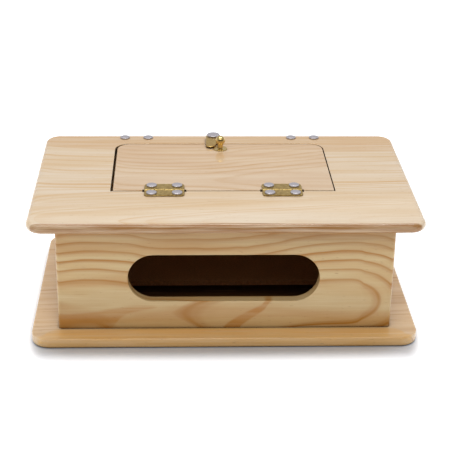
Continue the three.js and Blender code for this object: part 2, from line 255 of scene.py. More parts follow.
# ---------------------------------------------------------------- shader helpers
def srgb(red, green, blue):
    """A display colour from 0 to 255 as the linear colour that a shader takes."""
    def linear(value):
        value /= 255
        return value / 12.92 if value <= 0.04045 else ((value + 0.055) / 1.055) ** 2.4

    return (linear(red), linear(green), linear(blue), 1)


class Nodes:
    """Short ways to add and join the nodes of one tree."""

    def __init__(self, tree):
        self.tree = tree
        tree.nodes.clear()

    def feed(self, socket, value):
        if isinstance(value, bpy.types.NodeSocket):
            self.tree.links.new(value, socket)
        else:
            socket.default_value = value

    def add(self, kind, inputs=None, **settings):
        node = self.tree.nodes.new("ShaderNode" + kind)
        for key, value in settings.items():
            setattr(node, key, value)
        for key, value in (inputs or {}).items():
            self.feed(node.inputs[key], value)
        return node

    def math(self, operation, *values, clamp=False):
        node = self.add("Math", dict(enumerate(values)), operation=operation, use_clamp=clamp)
        return node.outputs[0]

    def vector(self, operation, *values):
        return self.add("VectorMath", dict(enumerate(values)), operation=operation).outputs[0]

    def noise(self, place, stretch, detail=2.0, roughness=0.5):
        """Noise about 0.5 whose features are 1 / stretch millimetres long along each axis."""
        spot = self.vector("MULTIPLY", place, stretch)
        inputs = {"Vector": spot, "Scale": 1, "Detail": detail, "Roughness": roughness}
        return self.add("TexNoise", inputs).outputs["Fac"]

    def noise_1d(self, value, detail=1.0):
        inputs = {"W": value, "Scale": 1, "Detail": detail}
        return self.add("TexNoise", inputs, noise_dimensions="1D").outputs["Fac"]

    def remap(self, value, low, high, to_low=0.0, to_high=1.0, smooth_ends=False):
        inputs = {0: value, 1: low, 2: high, 3: to_low, 4: to_high}
        kind = "SMOOTHSTEP" if smooth_ends else "LINEAR"
        return self.add("MapRange", inputs, interpolation_type=kind).outputs[0]

    def curve(self, value, points):
        """A smooth curve through (input, output) points."""
        low, high = min(y for _, y in points), max(y for _, y in points)
        span = (high - low) or 1
        first, last = points[0][0], points[-1][0]
        node = self.add("FloatCurve", {"Value": self.remap(value, first, last)})
        shape = node.mapping.curves[0].points
        shape[0].location = (0, (points[0][1] - low) / span)
        shape[1].location = (1, (points[-1][1] - low) / span)
        for x, y in points[1:-1]:
            shape.new((x - first) / (last - first), (y - low) / span)
        node.mapping.update()
        return self.math("MULTIPLY_ADD", node.outputs[0], span, low)

    def ramp(self, value, stops):
        """A grey ramp through (position, brightness) stops."""
        node = self.add("ValToRGB", {"Fac": value})
        node.color_ramp.interpolation = "EASE"
        elements = node.color_ramp.elements
        while len(elements) < len(stops):
            elements.new(0.5)
        for element, (position, level) in zip(elements, stops):
            element.position = position
            element.color = (level, level, level, 1)
        return node.outputs[0]

    def mix(self, amount, first, second, blend="MIX"):
        node = self.add("Mix", data_type="RGBA", blend_type=blend, clamp_factor=True)
        self.feed(node.inputs[0], amount)
        self.feed(node.inputs[6], first)
        self.feed(node.inputs[7], second)
        return node.outputs[2]

    def bump(self, height, distance, strength):
        """A surface normal from a height from 0 to 1 that stands for `distance` millimetres."""
        inputs = {"Height": height, "Distance": distance * MM, "Strength": strength}
        return self.add("Bump", inputs).outputs[0]

    def surface(self, **inputs):
        """Ends the material in one principled shader. Names use _ where the socket's name has a space."""
        named = {key.replace("_", " "): value for key, value in inputs.items()}
        shader = self.add("BsdfPrincipled", named)
        self.add("OutputMaterial", {"Surface": shader.outputs[0]})


def material_nodes(name):
    material = bpy.data.materials.new(name)
    material.use_nodes = True
    return material, Nodes(material.node_tree)


def place_in_mm(nodes):
    """The shaded point in the row frame at rest, in millimetres."""
    here = nodes.add("TexCoord").outputs["Object"]
    return nodes.vector("MULTIPLY", here, (1 / MM, 1 / MM, 1 / MM))


# ---------------------------------------------------------------- pine
# Each board is sawn from a trunk of its own, whose pith runs nearly along the board. The distance from the
# pith, changed by the curves below, is a field. One growth ring lies where the field is the same, so the
# rings cut the board's faces in the loops and arches that the field makes there. Curves are (place, value)
# points in millimetres, and the place is along the board unless said otherwise.
#   axes        the row frame's axes along the grain, across it and through the board
#   pith        where the pith lies across the board, and depth: where it lies through the board
#   taper       taken from the distance, and fade: how much of it counts, by the place across the board
#   lift        added to the distance, and lift_share: how much of it counts, by the place across the board
#   least       the smallest value of the field, which leaves the heart of a loop without rings
#   spacing     from one ring to the next
#   phase       shifts all rings, in rings
#   wave        how much the rings wander, and irregular: how uneven their spacing is
#   seed        picks the board's own noise
#   faintest    the strength of the faintest ring
#   bands       coloured zones, as band() draws them, with a colour each; some are painted light or shade, as said where they stand
FLAME_COLOUR = srgb(182, 124, 52)
WARMTH_COLOUR = srgb(255, 240, 212)
CANAL_COLOUR = srgb(150, 104, 62)

FRONT_GRAIN = dict(
    axes="XZY",
    pith=[(-104, 8), (-30, 17), (0, 15), (20, 18), (76, 25), (104, 22)],
    depth=[(-104, -33), (-30, -38.6), (0, -42), (20, -46.7), (76, -45), (86, -41.5), (96, -37),
           (104, -32.3)],
    taper=[(-104, 63.7), (-60, 56), (-30, 51.2), (0, 51.9), (20, 49.3), (76, 50.75), (86, 51.6),
           (96, 53), (104, 54.3)],
    lift=[(-104, 11.7), (-88, 10.1), (-76, 8), (-68, 5.6), (-60, 3.8), (-42, 0.4), (0, 0), (104, 0)],
    lift_share=[(6, 1), (12, 1), (18, 0.84), (24, 0.6), (28, 0.25), (32, 0), (77, 0)],
    least=[(-104, -36), (-20, -31.2), (104, -31.2)],
    spacing=5.3, phase=0.04, wave=1.0, seed=3.0, irregular=0.03, faintest=0.7,
    # The first band is painted shade: the top of the panel is made darker and browner where the lid's
    # overhang shades it. The other three are flame figure in the wood.
    bands=[dict(edge=[(-104, 64), (104, 58)], side=1, soft=12, amount=0.6, colour=srgb(142, 102, 58)),
           dict(edge=[(-104, 17), (-84, 19), (-66, 22), (-46, 23.5), (-36, 18), (104, 18)],
                floor=[(-104, -30), (-80, -8), (-70, 6), (-60, 15.5), (-44, 19.5), (-36, 23), (104, 23)],
                side=-1, soft=2.5, amount=0.55, colour=FLAME_COLOUR),
           dict(edge=[(-104, -12), (-8, -4), (-2, 7), (4, 13), (22, 23.5), (30, 28), (40, 20), (104, 10)],
                floor=[(-104, 20), (-8, 8), (-2, 3), (4, 1), (10, 7), (24, 18), (32, 26), (104, 40)],
                side=-1, soft=2.2, amount=0.7, colour=FLAME_COLOUR),
           dict(edge=[(-104, -4), (76, -4), (90, 3), (104, 9)], side=-1, soft=6, amount=0.5,
                colour=FLAME_COLOUR)],
)
FLAP_GRAIN = dict(
    axes="XYZ",
    pith=[(-70, 2), (-20, -7), (20, -6), (70, -4)],
    depth=[(-70, 73), (70, 73)],
    taper=[(-70, -1.5), (-20, -1.2), (-5, 0), (20, 5), (70, 15)],
    least=[(-70, 6), (70, 6)],
    spacing=6.2, phase=0.337, wave=1.6, seed=11.0, irregular=0.15,
    # The band is a painted shadow line: a thin dark rim along the flap's rear edge, where the seam's shade
    # falls.
    bands=[dict(edge=[(-70, 57.3), (70, 57.3)], side=1, soft=0.4, amount=0.8, colour=srgb(112, 74, 40))],
)
LID_GRAIN = dict(
    axes="XYZ",
    pith=[(-120, -66), (0, -71), (120, -69)],
    depth=[(-120, 72), (0, 74), (120, 75)],
    taper=[(-120, -27), (-108, -15), (-60, -7), (0, 1), (120, 15)],
    fade=[(-76.25, 1), (-45, 0.9), (-15, 0.15), (0, 0), (76.25, 0)],
    spacing=5.6, phase=0.3, wave=1.2, seed=23.0, irregular=0.7, faintest=0.0,
    bands=[dict(edge=[(-120, 57.5), (-75, 47), (0, 44), (75, 43), (120, 43)], side=1, soft=1.2, amount=0.75,
                colour=srgb(196, 158, 110)),
           # The second band is painted light: the front of the lid is made paler, as if lit more and hazed by
           # the lacquer's sheen.
           dict(edge=[(-120, -52), (0, -38), (120, -22)], side=-1, soft=22, amount=0.35,
                colour=srgb(236, 227, 212)),
           # The third band darkens the rounded front edge: partly the late wood that the edge cuts, partly
           # painted shade, since the edge faces forwards and down.
           dict(edge=[(-120, -72.4), (-60, -73.2), (0, -72.6), (60, -73.4), (120, -72.6)],
                side=-1, soft=1.2, amount=0.95, colour=srgb(140, 95, 48))],
)
BASE_GRAIN = dict(
    axes="XYZ",
    pith=[(-120, -150), (120, -138)],
    depth=[(-120, -40), (120, -36)],
    taper=[(-120, 0), (120, 5)],
    spacing=6.4, phase=0.0, wave=1.2, seed=37.0, irregular=0.7, faintest=0.1,
    # The first band is painted light: the strip in front of the front panel, which the lid shades, is made
    # more orange, standing in for warm light bounced from the panel.
    bands=[dict(edge=[(-120, -75), (-112, -69), (-100, -62), (100, -62), (112, -69), (120, -75)],
                side=-1, soft=4, amount=0.8, colour=srgb(236, 190, 114)),
           dict(edge=[(-120, -75), (-40, -74.4), (60, -75.2), (120, -74.8)], side=-1, soft=0.8, amount=0.2,
                colour=srgb(170, 122, 78)),
           # The third band is painted shade: the base's top inside the box, from the front panel back under
           # the shelf, is made dark brown, as light hardly reaches it.
           dict(edge=[(-120, -62), (-103, -61), (-98, 16), (-88, 20), (88, 20), (98, 16), (103, -61),
                      (120, -62)],
                floor=[(-120, -61), (120, -61)], side=-1, soft=2, amount=1.4, colour=srgb(122, 84, 50))],
)
BACK_GRAIN = dict(
    axes="XZY",
    pith=[(-104, 44), (-20, 38), (50, 30), (104, 22)],
    depth=[(-104, 44), (0, 48), (104, 42)],
    taper=[(-104, 0), (0, 6), (104, 22)],
    spacing=5.0, phase=0.4, wave=1.0, seed=51.0, irregular=0.4,
)
SIDE_GRAIN = dict(
    axes="YZX",
    pith=[(-63, 20), (0, 27), (63, 36)],
    depth=[(-63, 78), (63, 86)],
    taper=[(-63, 0), (63, 9)],
    spacing=4.6, phase=0.2, wave=1.0, seed=67.0, irregular=0.5,
)

# Painted shade: seams, corners and gaps between boards are darkened towards the colour below, by how little
# open sky the ambient occlusion finds within the reach below, in millimetres.
CREVICE_SHADE_COLOUR = srgb(34, 14, 5)
CREVICE_REACH = 3
CREVICE_OPEN, CREVICE_SHUT = 0.78, 0.25           # share of open sky where darkening starts and ends
# Noise along and across the grain, in features per millimetre.
PATCHES, FIBRES, STREAKS, CANALS = (0.01, 0.045), (0.05, 2.6), (0.018, 0.55), (0.22, 1.9)
FIGURE, WARMTH, ZONE_STREAKS = (0.009, 0.11), (0.006, 0.02), (0.02, 0.5)
# What each noise does: how far rings fade in and out, and how strongly the others colour the wood.
RING_FADE, ZONE_FADE = (0.65, 1.15), (0.45, 1.3)
STREAK_AMOUNT, FIBRE_AMOUNT, WARMTH_AMOUNT, CANAL_AMOUNT = 0.22, 0.16, 0.35, 0.45
CANAL_START, CANAL_FULL = 0.7, 0.78
WOOD_ROUGHNESS = (0.52, 0.42)                     # between fibres, and on them
BOARD_GLOSS, PANEL_GLOSS = 0.85, 0.6
BODY_SPECULAR = 0.15
# The third value is how deep the painted crevice shade must be for the lacquer coat, and so its reflection,
# to be gone.
LACQUER_ROUGHNESS, LACQUER_IOR, COAT_GONE_IN_SHADE = 0.08, 1.5, 0.8
RELIEF_DEPTH, RELIEF_STRENGTH = 0.03, 0.5
WANDER = 6                                        # millimetres that rings wander where wave is 1
WANDER_ALONG, WANDER_ACROSS = 0.012, 0.05         # noise features per millimetre
UNEVEN_PER_RING, UNEVEN_SHIFT = 0.45, 4           # how fast ring spacing changes, and by how many rings
FIRST_RING = 40                                   # keeps the count of rings above 0
YEAR_START = 0.03
STRONGEST, FAINTEST = 1.1, 0.4
LID_TONE = dict(early=srgb(215, 201, 180), figure=srgb(209, 188, 157),
                late=srgb(196, 156, 102), strength=0.95)
FLAP_TONE = dict(early=srgb(211, 190, 162), figure=srgb(202, 175, 144),
                 late=srgb(184, 142, 88), strength=0.85)
FRONT_TONE = dict(early=srgb(211, 189, 142), figure=srgb(202, 168, 116),
                  late=srgb(172, 118, 48), strength=1.2)
BASE_TONE = dict(early=srgb(240, 218, 184), figure=srgb(232, 204, 162),
                 late=srgb(196, 148, 96), strength=0.7)

RING_SHAPE = [(0.0, 0.55), (0.06, 0.1), (0.28, 0.0), (0.56, 0.1), (0.79, 0.55), (0.93, 1.0), (1.0, 0.6)]


def ring_field(nodes, place, grain):
    """The field that is the same all along one growth ring, in millimetres."""
    parts = nodes.add("SeparateXYZ", {0: place}).outputs
    along, across, deep = (parts["XYZ".index(axis)] for axis in grain["axes"])
    stretch = grain_stretch(grain["axes"], WANDER_ALONG, WANDER_ACROSS)
    bend = nodes.math("SUBTRACT", nodes.noise(place, stretch, detail=3), 0.5)
    across = nodes.math("MULTIPLY_ADD", bend, grain["wave"] * WANDER, across)
    off_pith = nodes.math("SUBTRACT", across, nodes.curve(along, grain["pith"]))
    off_depth = nodes.math("SUBTRACT", deep, nodes.curve(along, grain["depth"]))
    squares = nodes.math("MULTIPLY_ADD", off_depth, off_depth, nodes.math("MULTIPLY", off_pith, off_pith))
    taper = nodes.curve(along, grain["taper"])
    if "fade" in grain:
        taper = nodes.math("MULTIPLY", taper, nodes.curve(across, grain["fade"]))
    field = nodes.math("SUBTRACT", nodes.math("SQRT", squares), taper)
    if "lift" in grain:
        share = nodes.curve(across, grain["lift_share"])
        field = nodes.math("MULTIPLY_ADD", nodes.curve(along, grain["lift"]), share, field)
    if "least" in grain:
        field = nodes.math("MAXIMUM", field, nodes.curve(along, grain["least"]))
    return field


def latewood(nodes, field, grain):
    """How dark the growth rings are here, from 0 in early wood to 1 in the darkest late wood."""
    rings = nodes.math("DIVIDE", field, grain["spacing"])
    uneven = nodes.noise_1d(nodes.math("MULTIPLY_ADD", rings, UNEVEN_PER_RING, grain["seed"]))
    shift = nodes.math("SUBTRACT", uneven, 0.5)
    rings = nodes.math("MULTIPLY_ADD", shift, UNEVEN_SHIFT * grain["irregular"], rings)
    rings = nodes.math("ADD", rings, grain["phase"] + FIRST_RING)
    darkness = nodes.ramp(nodes.math("FRACT", rings), RING_SHAPE)
    year = nodes.math("FLOOR", nodes.math("ADD", rings, YEAR_START))
    luck = nodes.add("TexWhiteNoise", {"W": year}, noise_dimensions="1D").outputs["Value"]
    strength = nodes.remap(luck, 0, 1, grain.get("faintest", FAINTEST), STRONGEST)
    return nodes.math("MULTIPLY", darkness, strength)


def band(nodes, place, grain, edge, side, soft, amount, floor=None):
    """How strongly a streaky zone shows here, on one side of an edge line that runs along the board.

    side is 1 for the high side of the line and -1 for the low side, and soft is how wide the zone's rim is. A
    zone with a floor lies between two lines, and ends where they cross.
    """
    parts = nodes.add("SeparateXYZ", {0: place}).outputs
    along, across = (parts["XYZ".index(axis)] for axis in grain["axes"][:2])
    past = nodes.math("MULTIPLY", nodes.math("SUBTRACT", across, nodes.curve(along, edge)), side)
    if floor:
        past = nodes.math("MINIMUM", past, nodes.math("SUBTRACT", across, nodes.curve(along, floor)))
    streaks = nodes.noise(place, grain_stretch(grain["axes"], *ZONE_STREAKS), detail=3, roughness=0.6)
    amount = nodes.remap(streaks, 0.3, 0.7, *(share * amount for share in ZONE_FADE))
    return nodes.math("MULTIPLY", nodes.remap(past, 0, soft, smooth_ends=True), amount, clamp=True)


def grain_stretch(axes, along, across):
    """A stretch for noise whose features run along the board's grain."""
    stretch = [across] * 3
    stretch["XYZ".index(axes[0])] = along
    return stretch


def painted_crevice_shade(nodes):
    """Painted shade: 1 deep in a seam or a corner between boards, where shade falls, and 0 in the open."""
    open_sky = nodes.add("AmbientOcclusion", {"Distance": CREVICE_REACH * MM}, samples=6).outputs["AO"]
    return nodes.remap(open_sky, CREVICE_SHUT, CREVICE_OPEN, 1, 0)


def pine(name, grain, tone, gloss):
    """Lacquered pine: growth rings, marks and zones of the board, some of them painted light or shade, then
    fibres, streaks and resin canals, and last painted shade in seams and corners, which also takes the
    lacquer's reflection away.
    """
    material, nodes = material_nodes(name)
    place = place_in_mm(nodes)
    axes = grain["axes"]
    shifted = nodes.vector("ADD", place, (grain["seed"] * 31, grain["seed"] * 7, grain["seed"] * 13))
    late = latewood(nodes, ring_field(nodes, place, grain), grain)
    patches = nodes.noise(shifted, grain_stretch(axes, *PATCHES), detail=2)
    fade = nodes.remap(patches, 0.35, 0.65, *RING_FADE)
    late = nodes.math("MULTIPLY", nodes.math("MULTIPLY", late, fade), tone["strength"], clamp=True)

    fibres = nodes.noise(shifted, grain_stretch(axes, *FIBRES), detail=3, roughness=0.65)
    streaks = nodes.noise(shifted, grain_stretch(axes, *STREAKS), detail=3, roughness=0.6)
    canals = nodes.noise(shifted, grain_stretch(axes, *CANALS), detail=1)
    canals = nodes.remap(canals, CANAL_START, CANAL_FULL, 0, CANAL_AMOUNT, smooth_ends=True)

    figure = nodes.noise(shifted, grain_stretch(axes, *FIGURE), detail=2)
    colour = nodes.mix(nodes.remap(figure, 0.38, 0.62), tone["early"], tone["figure"])
    colour = nodes.mix(late, colour, tone["late"])
    for zone in grain.get("bands", []):
        ends = {key: zone[key] for key in zone if key != "colour"}
        colour = nodes.mix(band(nodes, place, grain, **ends), colour, zone["colour"])
    warmth = nodes.noise(shifted, grain_stretch(axes, *WARMTH), detail=1)
    warmth = nodes.remap(warmth, 0.35, 0.7, 0, WARMTH_AMOUNT)
    colour = nodes.mix(warmth, colour, WARMTH_COLOUR, "MULTIPLY")
    colour = nodes.mix(nodes.remap(streaks, 0.3, 0.7, STREAK_AMOUNT, 0), colour, tone["late"])
    colour = nodes.mix(nodes.remap(fibres, 0.35, 0.7, FIBRE_AMOUNT, 0), colour, tone["late"])
    colour = nodes.mix(canals, colour, CANAL_COLOUR)
    # Painted shade: seams and corners are darkened here, and they lose the coat's reflection.
    seam = painted_crevice_shade(nodes)
    colour = nodes.mix(seam, colour, CREVICE_SHADE_COLOUR)

    relief = nodes.math("MULTIPLY_ADD", late, 0.5, nodes.math("MULTIPLY", fibres, 0.5))
    rough = nodes.remap(fibres, 0.3, 0.7, *WOOD_ROUGHNESS)
    nodes.surface(Base_Color=colour, Roughness=rough, Specular_IOR_Level=BODY_SPECULAR,
                  Normal=nodes.bump(relief, RELIEF_DEPTH, RELIEF_STRENGTH),
                  Coat_Weight=nodes.remap(seam, 0, COAT_GONE_IN_SHADE, gloss, 0),
                  Coat_Roughness=LACQUER_ROUGHNESS, Coat_IOR=LACQUER_IOR)
    return material


# ---------------------------------------------------------------- other materials
SCRATCHES_ALONG_X, STEEL_GRAIN = (0.5, 6, 6), (3, 3, 3)
SCRATCH = 0.06


def metal(name, bright, dull, roughness, patina=0.3, stretch=SCRATCHES_ALONG_X):
    """Metal with cloudy tarnish and a fine scratched or grained face."""
    material, nodes = material_nodes(name)
    place = place_in_mm(nodes)
    clouds = nodes.remap(nodes.noise(place, (0.45, 0.45, 0.45), detail=4, roughness=0.6), 0.35, 0.7)
    lines = nodes.noise(place, stretch, detail=3, roughness=0.7)
    colour = nodes.mix(nodes.math("MULTIPLY", clouds, patina), bright, dull)
    scratched = nodes.math("MULTIPLY_ADD", lines, SCRATCH, roughness)
    rough = nodes.math("MULTIPLY_ADD", clouds, 0.1, scratched)
    nodes.surface(Base_Color=colour, Metallic=1.0, Roughness=rough, Normal=nodes.bump(lines, 0.008, 0.6))
    return material


def hardboard(name):
    """Bare brown fibreboard with fine flecks."""
    material, nodes = material_nodes(name)
    place = place_in_mm(nodes)
    flecks = nodes.noise(place, (0.9, 0.9, 0.9), detail=5, roughness=0.7)
    weave = nodes.noise(place, (4, 4, 4), detail=2)
    colour = nodes.mix(nodes.remap(flecks, 0.35, 0.65), srgb(136, 90, 54), srgb(168, 120, 78))
    nodes.surface(Base_Color=colour, Roughness=nodes.remap(weave, 0.3, 0.7, 0.6, 0.75),
                  Normal=nodes.bump(weave, 0.05, 0.6))
    return material


MATERIALS = {
    "lid": pine("pine_lid", LID_GRAIN, LID_TONE, BOARD_GLOSS),
    "flap": pine("pine_flap", FLAP_GRAIN, FLAP_TONE, BOARD_GLOSS),
    "front": pine("pine_front", FRONT_GRAIN, FRONT_TONE, PANEL_GLOSS),
    "base": pine("pine_base", BASE_GRAIN, BASE_TONE, BOARD_GLOSS),
    "back": pine("pine_back", BACK_GRAIN, FRONT_TONE, PANEL_GLOSS),
    "side": pine("pine_side", SIDE_GRAIN, FRONT_TONE, PANEL_GLOSS),
    "brass": metal("polished_brass", srgb(216, 188, 122), srgb(160, 122, 66), 0.14),
    "button_brass": metal("cast_brass", srgb(206, 176, 112), srgb(150, 112, 60), 0.24, patina=0.5),
    "hinge_brass": metal("rolled_brass", srgb(190, 166, 106), srgb(126, 98, 56), 0.42, patina=0.75),
    "steel": metal("plated_steel", srgb(196, 192, 196), srgb(160, 154, 160), 0.4, stretch=STEEL_GRAIN),
    "dark_steel": metal("pin_steel", srgb(120, 112, 104), srgb(70, 60, 52), 0.4),
    "hardboard": hardboard("hardboard"),
}


# ---------------------------------------------------------------- boards
def flat_board(node, radii, edge, holes=()):
    """A board that lies flat, lofted up Z inside its CAD node's box."""
    x0, x1, y0, y1, z0, z1 = box_mm(node)
    outline = rectangle(x0, x1, y0, y1, radii)
    return loft(node + "_fine", outline, rounded_edge(z0, z1, edge, edge), holes)


def make_base():
    board = flat_board("base_board", (BASE_CORNER,) * 4, BASE_EDGE)
    sinks = [countersink(number) for number in range(1, 7)]
    combine(board, sinks, "DIFFERENCE")
    place_piece(board, MATERIALS["base"], "carcase", "base_board")


def countersink(number):
    """The cone that a base screw's head sits in, cut up into the base's underside."""
    x0, x1, y0, y1, z0, _ = box_mm(f"base_screw_{number}")
    wide = (x1 - x0) / 2 + SINK_GAP
    top = z0 + wide - SHANK
    cone = [[0, -PAST], [wide, -PAST], [wide, z0], [SHANK, top], [0, top]]
    return turned("sink", cone, Matrix.Translation(((x0 + x1) / 2, (y0 + y1) / 2, 0)), SCREW_STEPS)


def upright(node, front_sign, material, slot_hole=False):
    """The front or back panel. It is lofted along its depth, and front_sign is the side of its show face."""
    x0, x1, y0, y1, z0, z1 = box_mm(node)
    depth = y1 - y0
    outline = rectangle(x0, x1, z0, z1, side_share=BOARD_EDGE / PANEL_CORNER)
    holes = []
    if slot_hole:
        hole = stadium(SLOT_X, SLOT_Z, SLOT_WIDTH, SLOT_HEIGHT)
        holes = [(hole, hole_edge(0, depth, SLOT_EDGE, SLOT_EDGE))]
    show_face = y0 if front_sign < 0 else y1
    hidden_face = show_face - front_sign * depth
    place = Matrix(((1, 0, 0, 0), (0, 0, front_sign, hidden_face), (0, 1, 0, 0), (0, 0, 0, 1)))
    board = loft(node + "_fine", outline, rounded_edge(0, depth, BOARD_EDGE, PANEL_CORNER), holes, place)
    place_piece(board, material, "carcase", node)


def make_side(node):
    x0, x1, y0, y1, z0, z1 = box_mm(node)
    outline = rectangle(y0, y1, z0, z1)
    place = Matrix(((0, 0, 1, 0), (1, 0, 0, 0), (0, 1, 0, 0), (0, 0, 0, 1)))
    board = loft(node + "_fine", outline, rounded_edge(x0, x1, BOARD_EDGE, BOARD_EDGE, 3), (), place)
    place_piece(board, MATERIALS["side"], "carcase", node)


def notches():
    """Blocks cut out of the seam, one for the barrel of each of the flap's hinges."""
    blocks = []
    for side in ("left", "right"):
        x0, x1, *_ = box_mm(f"flap_hinge_{side}_pin")
        axis = middle_mm(f"flap_hinge_{side}_pin")
        bm = bmesh.new()
        add_block(bm, x0 - NOTCH_END, x1 + NOTCH_END, axis.y - NOTCH_HALF, axis.y + NOTCH_HALF,
                  axis.z - NOTCH_DEPTH, axis.z + NOTCH_ABOVE)
        blocks.append(new_piece("notch", bm))
    return blocks


def make_lid():
    x0, x1, y0, y1, z0, z1 = box_mm("flap_board")
    corner = FLAP_CORNER + SEAM_REAR
    opening = rectangle(x0 - SEAM_LEFT, x1 + SEAM_RIGHT, y0 - SEAM_FRONT, y1 + SEAM_REAR,
                        (0, 0, corner, corner))
    hole = (opening, hole_edge(z0, z1, OPENING_EDGE, OPENING_EDGE, 3))
    board = flat_board("lid_board", (LID_CORNER,) * 4, LID_EDGE, [hole])
    combine(board, notches(), "DIFFERENCE")
    place_piece(board, MATERIALS["lid"], "lid", "lid_board")


def make_flap():
    board = flat_board("flap_board", (0, 0, FLAP_CORNER, FLAP_CORNER), FLAP_EDGE)
    combine(board, notches(), "DIFFERENCE")
    place_piece(board, MATERIALS["flap"], "flap", "flap_board")


# ---------------------------------------------------------------- hinges
def leaf_shape(name, length, plate_base, place):
    """One leaf: axis along X at its origin and plate towards +Y. Its knuckles fill every second place."""
    half = length / 2
    start = BARREL + LEAF_START
    outline = rectangle(-half, half, start, LEAF_REACH, (0, 0, LEAF_CORNER, LEAF_CORNER))
    profile = rounded_edge(plate_base, plate_base + LEAF_PLATE, LEAF_EDGE, LEAF_EDGE, 3)
    leaf = loft(name, outline, profile, (), place)
    parts = []
    step = length / KNUCKLES
    for i in range(0, KNUCKLES, 2):
        x0 = -half + i * step + (KNUCKLE_GAP / 2 if i else 0)
        x1 = -half + (i + 1) * step - KNUCKLE_GAP / 2
        parts += [knuckle(x0, x1, place), neck(x0, x1, start, plate_base, place)]
    combine(leaf, parts, "UNION")
    return combine(leaf, [bore(half, place)], "DIFFERENCE")


def bar(radius, low, high, rim):
    """The profile of a round bar whose two ends have a chamfered rim."""
    return [[0, low], [radius - rim, low], [radius, low + rim], [radius, high - rim], [radius - rim, high],
            [0, high]]


def knuckle(x0, x1, place):
    profile = bar(BARREL, x0, x1, KNUCKLE_RIM)
    return turned("knuckle", profile, place @ Matrix.Rotation(QUARTER, 4, "Y"), KNUCKLE_STEPS)


def neck(x0, x1, start, plate_base, place):
    """The metal that rolls from the plate into a knuckle."""
    bm = bmesh.new()
    add_block(bm, x0 + NECK_SIDE, x1 - NECK_SIDE, NECK_INNER, start + NECK_LAP,
              plate_base + NECK_SKIN, plate_base + LEAF_PLATE - NECK_SKIN)
    return new_piece("neck", bm, place)


def bore(half, place):
    end = half + PAST
    profile = [[0, -end], [PIN_BORE, -end], [PIN_BORE, end], [0, end]]
    return turned("bore", profile, place @ Matrix.Rotation(QUARTER, 4, "Y"), HARDWARE_STEPS)


def make_hinge(kind, side, leaves):
    """A pin and its two leaves. leaves gives each leaf's name, body and turn, and how high its plate sits."""
    axis = middle_mm(f"{kind}_{side}_pin")
    x0, x1, _, _, z0, z1 = box_mm(f"{kind}_{side}_pin")
    length = x1 - x0
    radius = (z1 - z0) / 2
    centre = Matrix.Translation(axis)
    along_x = centre @ Matrix.Rotation(QUARTER, 4, "Y")
    profile = bar(radius, -length / 2, length / 2, PIN_RIM)
    pin = turned(f"{kind}_{side}_pin_fine", profile, along_x, HARDWARE_STEPS)
    place_piece(pin, MATERIALS["dark_steel"], leaves[0][1], f"{kind}_{side}_pin")
    for leaf_name, body, turn, plate_base in leaves:
        node = f"{kind}_{side}_{leaf_name}"
        leaf = leaf_shape(node + "_fine", length, plate_base, centre @ turn)
        place_piece(leaf, MATERIALS["hinge_brass"], body, node)


def make_hinges():
    half_turn = Matrix.Rotation(PI, 4, "Z")
    down = Matrix.Rotation(QUARTER, 4, "X") @ half_turn
    for side in ("left", "right"):
        make_hinge("flap_hinge", side, [("lid_leaf", "lid", half_turn, 0),
                                        ("flap_leaf", "flap", Matrix.Identity(4), 0)])
        make_hinge("lid_hinge", side, [("wall_leaf", "carcase", down, WALL_PLATE_BASE),
                                       ("lid_leaf", "lid", Matrix.Identity(4), WALL_PLATE_BASE)])


# ---------------------------------------------------------------- screws
def dome(radius, height, rim=0.6, round_over=0.4):
    """[radius, height] pairs over a low head with a short upright rim, from the rim to the axis."""
    shoulder = arc(radius - round_over, rim, round_over, 0, QUARTER * 0.85, 6)
    start, base = shoulder[-1]
    steps = [i / 8 for i in range(1, 8)]
    crown = [(start * (1 - t), base + (height - base) * (1 - (1 - t) ** 2)) for t in steps]
    return [[radius - 0.08, 0.0], [radius, 0.12], *map(list, shoulder), *map(list, crown), [0, height]]


# Radius of the shank, radius of the head and height of the head.
SCREW_SHAPES = {
    "lid_leaf_screw": (SHANK, STEEL_HEAD, PAN_HEIGHT),
    "flap_leaf_screw": (SHANK, STEEL_HEAD, PAN_HEIGHT),
    "lid_screw": (SHANK, STEEL_HEAD, PAN_HEIGHT),
    "turn_button_screw": (SHANK, BUTTON_HEAD, PAN_HEIGHT),
    "knob_screw": (KNOB_SHANK, KNOB_HEAD, KNOB_HEAD_HEIGHT),
}


def pan_screw(node, body, up=1):
    """A pan-head screw in its CAD node's box. up is 1 with its head on top and -1 with its head below."""
    x0, x1, y0, y1, z0, z1 = box_mm(node)
    shank, head, head_height = SCREW_SHAPES[node.rstrip("_1234567890")]
    length = (z1 - z0) - head_height
    shaft = [[0, -length], [POINT, -length], [shank, POINT_LENGTH - length], [shank, 0]]
    profile = shaft + dome(head, head_height)
    seat = z1 - head_height if up > 0 else z0 + head_height
    turn = Matrix.Rotation(0 if up > 0 else PI, 4, "X")
    place = Matrix.Translation(((x0 + x1) / 2, (y0 + y1) / 2, seat)) @ turn
    screw = turned(node + "_fine", profile, place)
    place_piece(screw, MATERIALS["steel"], body, node)


def sunk_screw(node, head, head_depth, length, place):
    """A countersunk screw with a cross recess in its flat head, which faces +Z of its place."""
    profile = [[0, -length], [POINT, -length], [SHANK, POINT_LENGTH - length], [SHANK, -head_depth],
               [head, -0.12], [head - 0.05, -0.03], [head - 0.18, 0], [0, 0]]
    screw = turned(node + "_fine", profile, place, SCREW_STEPS)
    arm, half_width, depth = 0.55 * head, 0.1 * head, 0.55 * head_depth
    recess = []
    for x, y in ((arm, half_width), (half_width, arm)):
        bm = bmesh.new()
        add_block(bm, -x, x, -y, y, -depth, PAST)
        recess.append(new_piece("recess", bm, place))
    combine(screw, recess, "DIFFERENCE")
    place_piece(screw, MATERIALS["steel"], "carcase", node)


